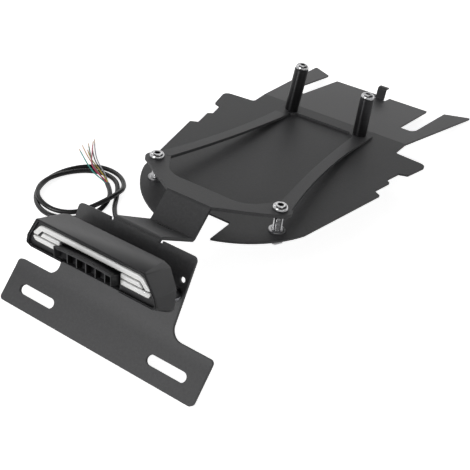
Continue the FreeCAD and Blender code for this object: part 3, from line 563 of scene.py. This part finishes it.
# nodes that get a copy with eased edges
EASED = {
    "spacer_left": (FINE_EASE, ANODISED),
    "spacer_right": (FINE_EASE, ANODISED),
    "spacer_nuts": (FINE_EASE, BRIGHT),
    "spacer_washers": (FINE_EASE, WASHER_STEEL),
    "bracket_upper_washers": (FINE_EASE, WASHER_STEEL),
    "bracket_lower_washers": (FINE_EASE, WASHER_STEEL),
    "bracket_nuts": (FINE_EASE, BRIGHT),
    "light_housing": (MOULD_EASE, MOULDED),
    "light_carrier": (FINE_EASE, LAMP_BLACK),
    "light_guide_upper": (GUIDE_EASE, GUIDE),
    "light_guides_middle": (GUIDE_EASE, GUIDE),
    "light_guides_lower": (GUIDE_EASE, GUIDE),
    "plate_lamp_hood": (HOOD_EASE, LAMP_BLACK),
    "plate_lamp_grille": (GRILLE_EASE, MOULDED),
    "light_back_cover": (MOULD_EASE, MOULDED),
}


# sheets, sleeves, washers, nuts and the light

def eased(node, ease, material):
    """the node's own shape with its edges eased as coating or moulding leaves them"""
    piece = copied(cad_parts[node], node + "_eased")
    alone(piece)
    bpy.ops.mesh.customdata_custom_splitnormals_clear()
    pick_all(piece)
    bpy.ops.mesh.remove_doubles(threshold=CAD_MERGE)
    bpy.ops.mesh.dissolve_limited(angle_limit=rad(CAD_FLAT))
    done(piece)
    edge_softened(piece, ease, clamped=False)
    finish_with(piece, material)
    smooth(piece, CAD_SMOOTH)
    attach(piece, "root")
    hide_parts(node)
    return piece


def dress_nodes():
    """finishes for the frame's own nodes, and eased copies of the others"""
    for node, material in NODE_FINISH.items():
        finish_with(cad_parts[node], material)
    made = {node: eased(node, ease, material) for node, (ease, material) in EASED.items()}
    # grille faces that don't look out of the openings get painted shade
    second_finish(made["plate_lamp_grille"], GRILLE_PAINTED_SHADE,
                  lambda face: face.normal.dot(LAMP_WAY) < LAMP_FACING)


# screws

def in_socket(face):
    """true for the socket's floor and walls, with a little to spare; these faces get black steel as painted
    shade
    """
    middle = face.calc_center_median()
    return middle.xy.length < 1.04 * SOCKET_R and 0.9 * SOCKET_FLOOR < middle.z < 0.97 * HEAD_H


def button_head():
    """domed head about +Z with a hex socket; its flat side is z = 0"""
    head = cylinder(HEAD_R, 0.0, HEAD_H, HEAD_CORNERS)
    pick(head, "edges", lambda edge: all(corner.co.z > 0.9 * HEAD_H for corner in edge.verts))
    bpy.ops.mesh.bevel(offset=DOME_H, segments=8, profile=DOME_CURVE)
    done(head)
    cut_with(head, cylinder(SOCKET_R, SOCKET_FLOOR, HEAD_H, 6, SOCKET_TURN))
    edge_softened(head, HEAD_EASE, HEAD_SHARP)
    finish_with(head, BRIGHT)
    # the socket is black steel on a bright head: painted shade in the recess
    second_finish(head, BLACKENED_AND_SOCKET_SHADE, in_socket)
    return head


def shank_core(length):
    """plain shank below z = 0 with an eased tip, as thick as the thread's root"""
    core = cylinder(CORE_R, -length, length, SHANK_CORNERS)
    pick(core, "edges", lambda edge: all(corner.co.z < -0.9 * length for corner in edge.verts))
    bpy.ops.mesh.bevel(offset=TIP_EASE, segments=2)
    done(core)
    finish_with(core, BRIGHT)
    return core


def thread_profile(low):
    """triangle of edges with its point outwards, at the thread's lower end"""
    middle = SCREW_R - THREAD_DEPTH / 2
    bpy.ops.mesh.primitive_plane_add(size=1.0, location=(middle, 0, low + PITCH / 2),
                                     rotation=(rad(90), 0, 0))
    profile = bpy.context.object
    profile.scale = (THREAD_DEPTH, RIDGE_WIDTH, 1.0)
    settle(profile)
    pick(profile, "verts", lambda corner: corner.co.x > middle)
    bpy.ops.mesh.merge(type="CENTER")
    pick(profile, "faces", lambda face: True)
    bpy.ops.mesh.delete(type="ONLY_FACE")
    return done(profile)


def thread(low, high):
    """closed helical ridge from low to high along Z"""
    ridge = thread_profile(low)
    sweep = ridge.modifiers.new("sweep", "SCREW")
    sweep.axis = "Z"
    sweep.angle = rad(360)
    sweep.screw_offset = PITCH
    sweep.iterations = int((high - low) / PITCH) + 1
    sweep.steps = THREAD_STEPS
    sweep.render_steps = THREAD_STEPS
    sweep.use_merge_vertices = True
    sweep.merge_threshold = MADE_MERGE
    apply_all(ridge)
    pick(ridge, "verts", lambda corner: True)
    bpy.ops.mesh.bisect(plane_co=(0, 0, high), plane_no=(0, 0, 1), clear_outer=True, use_fill=True)
    bpy.ops.mesh.select_all(action="SELECT")
    bpy.ops.mesh.fill_holes(sides=8)
    done(ridge)
    pick_all(ridge)
    bpy.ops.mesh.remove_doubles(threshold=MADE_MERGE)
    bpy.ops.mesh.normals_make_consistent(inside=False)
    done(ridge)
    finish_with(ridge, BRIGHT)
    return ridge


def machine_screw(name, length):
    """button head screw about +Z: head over z = 0, threaded shank below it"""
    head = button_head()
    core = shank_core(length)
    ridge = thread(-length + 0.4 * PITCH, 0.3 * PITCH)
    return joined(name, [head, core, ridge])


def bracket_screws():
    """the two screws that hold the bracket's raised pads to the undertail plate"""
    screw = machine_screw("bracket_screw_made", REAR_LENGTH * MM)
    twin = copied(screw, "bracket_screw_twin")
    for piece, side in ((screw, -1), (twin, 1)):
        stood_at(piece, (side * REAR_SEAT[0], REAR_SEAT[1], REAR_SEAT[2]), PLATE_UP)
    pair = joined("bracket_screws_made", [screw, twin])
    smooth(pair, SCREW_SMOOTH)
    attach(pair, "root")
    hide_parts("bracket_screws")


def spacer_screws():
    """long screws through the sleeves"""
    for node, (seat, axis, length) in SPACER_SEATS.items():
        screw = machine_screw(node + "_made", length * MM)
        stood_at(screw, seat, axis)
        smooth(screw, SCREW_SMOOTH)
        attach(screw, "root")
        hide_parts(node)


# cable and wires

def ground(x, y, z=CABLE_R):
    """point of a route, moved from the sheets' origin to the frame's"""
    return (x, y + GROUND_Y, z)


def coil_point(axes, deg, out=0.0, z=CABLE_R):
    """point of a coil's oval turn at an angle, moved outwards by a little"""
    wide, high = axes
    return ground(COIL_X + (wide + out) * math.cos(rad(deg)), COIL_Y + (high + out) * math.sin(rad(deg)), z)


def cable_route():
    """out of the grommet, down behind the neck, two turns on the ground, and back inside them"""
    route = [GROMMET_EXIT, CABLE_SECOND]
    route += [ground(-10, -316, 30.0), ground(-30, -297, 12.0), ground(-58, -281, 3.2), ground(-86, -268),
              ground(-106, -251), ground(-117.5, -232)]
    route += [coil_point(COIL_IN, deg, out, z) for deg, (out, z) in COIL_LIFT.items()]
    route += [ground(-152, -290.5, 3.4), ground(-130, -279.5, 2.8), ground(-119, -260.5, 7.4),
              ground(-114.5, -238.5, 8.8), ground(-119.5, -216, 4.6)]
    route += [coil_point(COIL_OUT, deg) for deg in range(72, 253, COIL_STEP)]
    route += [ground(-145, -297), ground(-124.5, -286), ground(-114.5, -266), ground(-118.5, -244.5),
              ground(-128.5, -228.5), ground(-140, -220.5)]
    return route


def wire_route(sheath_end, across, up, points):
    """straight out of the sheath's end, then over the coil to the wire's tip"""
    first = sheath_end + SHEATH_SIDE * across + Vector((0, 0, up))
    return [first, first + SHEATH_WAY * WIRE_STRAIGHT] + [ground(*point) for point in points]


def round_cord(name, kind, points, radius, roundness, material):
    """round cord along points in metres"""
    curve = bpy.data.curves.new(name, "CURVE")
    curve.dimensions = "3D"
    curve.resolution_u = 10
    curve.bevel_depth = radius
    curve.bevel_resolution = roundness
    curve.use_fill_caps = True
    curve.materials.append(material)
    spline = curve.splines.new(kind)
    spline.points.add(len(points) - 1)
    for slot, point in zip(spline.points, points):
        slot.co = (*point, 1.0)
    spline.order_u = 3
    spline.use_endpoint_u = True
    return added(name, curve)


def smooth_cord(name, route, radius_mm, material):
    """round cord on a smooth curve through a route given in millimetres"""
    return round_cord(name, "NURBS", [Vector(point) * MM for point in route], radius_mm * MM, 4, material)


def smooth_line(piece):
    """points along a cord's own smooth line"""
    bare = piece.data.copy()
    bare.bevel_depth = 0.0
    carrier = added("line", bare)
    mesh = bpy.data.meshes.new_from_object(carrier)
    line = [corner.co.copy() for corner in mesh.vertices]
    bpy.data.objects.remove(carrier)
    return line


def line_length(line):
    return sum((after - before).length for before, after in zip(line, line[1:]))


def bare_strand(name, line):
    """stripped end of a wire: the last share of its line"""
    total = line_length(line)
    kept = [line[-1]]
    walked = 0.0
    for before, here in zip(reversed(line[:-1]), reversed(line)):
        walked += (here - before).length
        kept.append(before)
        if walked > BARE_SHARE * total:
            break
    strand = round_cord(name, "POLY", kept, STRAND_R * MM, 3, COPPER)
    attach(strand, "root")
    return strand


def lay_cable():
    """the sheathed cable, and the wires that fan out of its end"""
    route = cable_route()
    cable = smooth_cord("cable_sheath", route, CABLE_R, SHEATH)
    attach(cable, "root")
    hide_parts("cable")
    line_length(smooth_line(cable))
    for name, (color, across, up, over) in WIRES.items():
        points = wire_route(Vector(route[-1]), across, up, over)
        wire = smooth_cord(name + "_lead", points, WIRE_R, insulation(name, color))
        line = smooth_line(wire)
        strand = bare_strand(name + "_strand", line)
        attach(wire, "root")
        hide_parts(name)


# camera, floor and lights

def set_camera():
    data = bpy.data.cameras.new("camera")
    data.sensor_width = SENSOR_MM
    data.lens = LENS_MM
    camera = added("camera", data)
    camera.location = CAMERA_AT
    camera.rotation_euler = [rad(v) for v in CAMERA_TURN]
    bpy.context.scene.camera = camera


def lay_floor():
    """pale floor that reads as white and keeps the object's shadow"""
    bpy.ops.mesh.primitive_plane_add(size=FLOOR_WIDTH, location=(0, 0, -FLOOR_GAP))
    floor = bpy.context.object
    floor.name = "floor"
    settle(floor)
    finish = Finish("pale_floor", (0.8, 0.8, 0.8), 0.9)
    finish.set("Emission Color", (1.0, 1.0, 1.0, 1.0))
    look = finish.seen_directly() * FLOOR_SEEN + finish.seen_by("Glossy") * FLOOR_IN_GLOSS
    finish.set("Emission Strength", look)
    finish_with(floor, finish.material)


def raise_sky():
    """white to the camera; as light, a bright low sky beyond the object and a dimmer one before it"""
    world = bpy.data.worlds.new("studio")
    bpy.context.scene.world = world
    world.use_nodes = True
    sky = Graph(world.node_tree)
    background = sky.tree.nodes["Background"]
    sky.feed(background.inputs["Color"], (1.0, 1.0, 1.0, 1.0))
    way = sky.node("TexCoord", out="Generated")
    right, ahead, up = [sky.node("SeparateXYZ", values={0: way}, out=axis) for axis in range(3)]
    beyond = sky.fade(ahead * SKY_AHEAD - right * SKY_RIGHT, *SKY_SIDES)
    level = beyond * sky.fade(up, *SKY_BEYOND) + (1.0 - beyond) * sky.fade(up, *SKY_BEFORE)
    direct = sky.seen_directly()
    sky.feed(background.inputs["Strength"], direct + (1.0 - direct) * level * sky.fade(up, *SKY_HEIGHT))


def hang_lights():
    """soft boxes and strips round the object, all turned to it"""
    for name, (turn, rise, watts, width, height) in LIGHTS.items():
        data = bpy.data.lights.new(name, "AREA")
        data.shape = "RECTANGLE"
        data.size = width
        data.size_y = height
        data.energy = watts
        flat = math.cos(rad(rise))
        way = Vector((math.cos(rad(turn)) * flat, math.sin(rad(turn)) * flat, math.sin(rad(rise))))
        light = added(name, data)
        light.location = way * LIGHTS_AWAY + LIGHTS_RAISED
        light.rotation_euler = (LIGHTS_AIM - light.location).to_track_quat("-Z", "Y").to_euler()


def main():
    set_camera()
    lay_floor()
    raise_sky()
    hang_lights()
    dress_nodes()
    bracket_screws()
    spacer_screws()
    lay_cable()


main()
bpy.context.scene.view_settings.view_transform = "Standard"
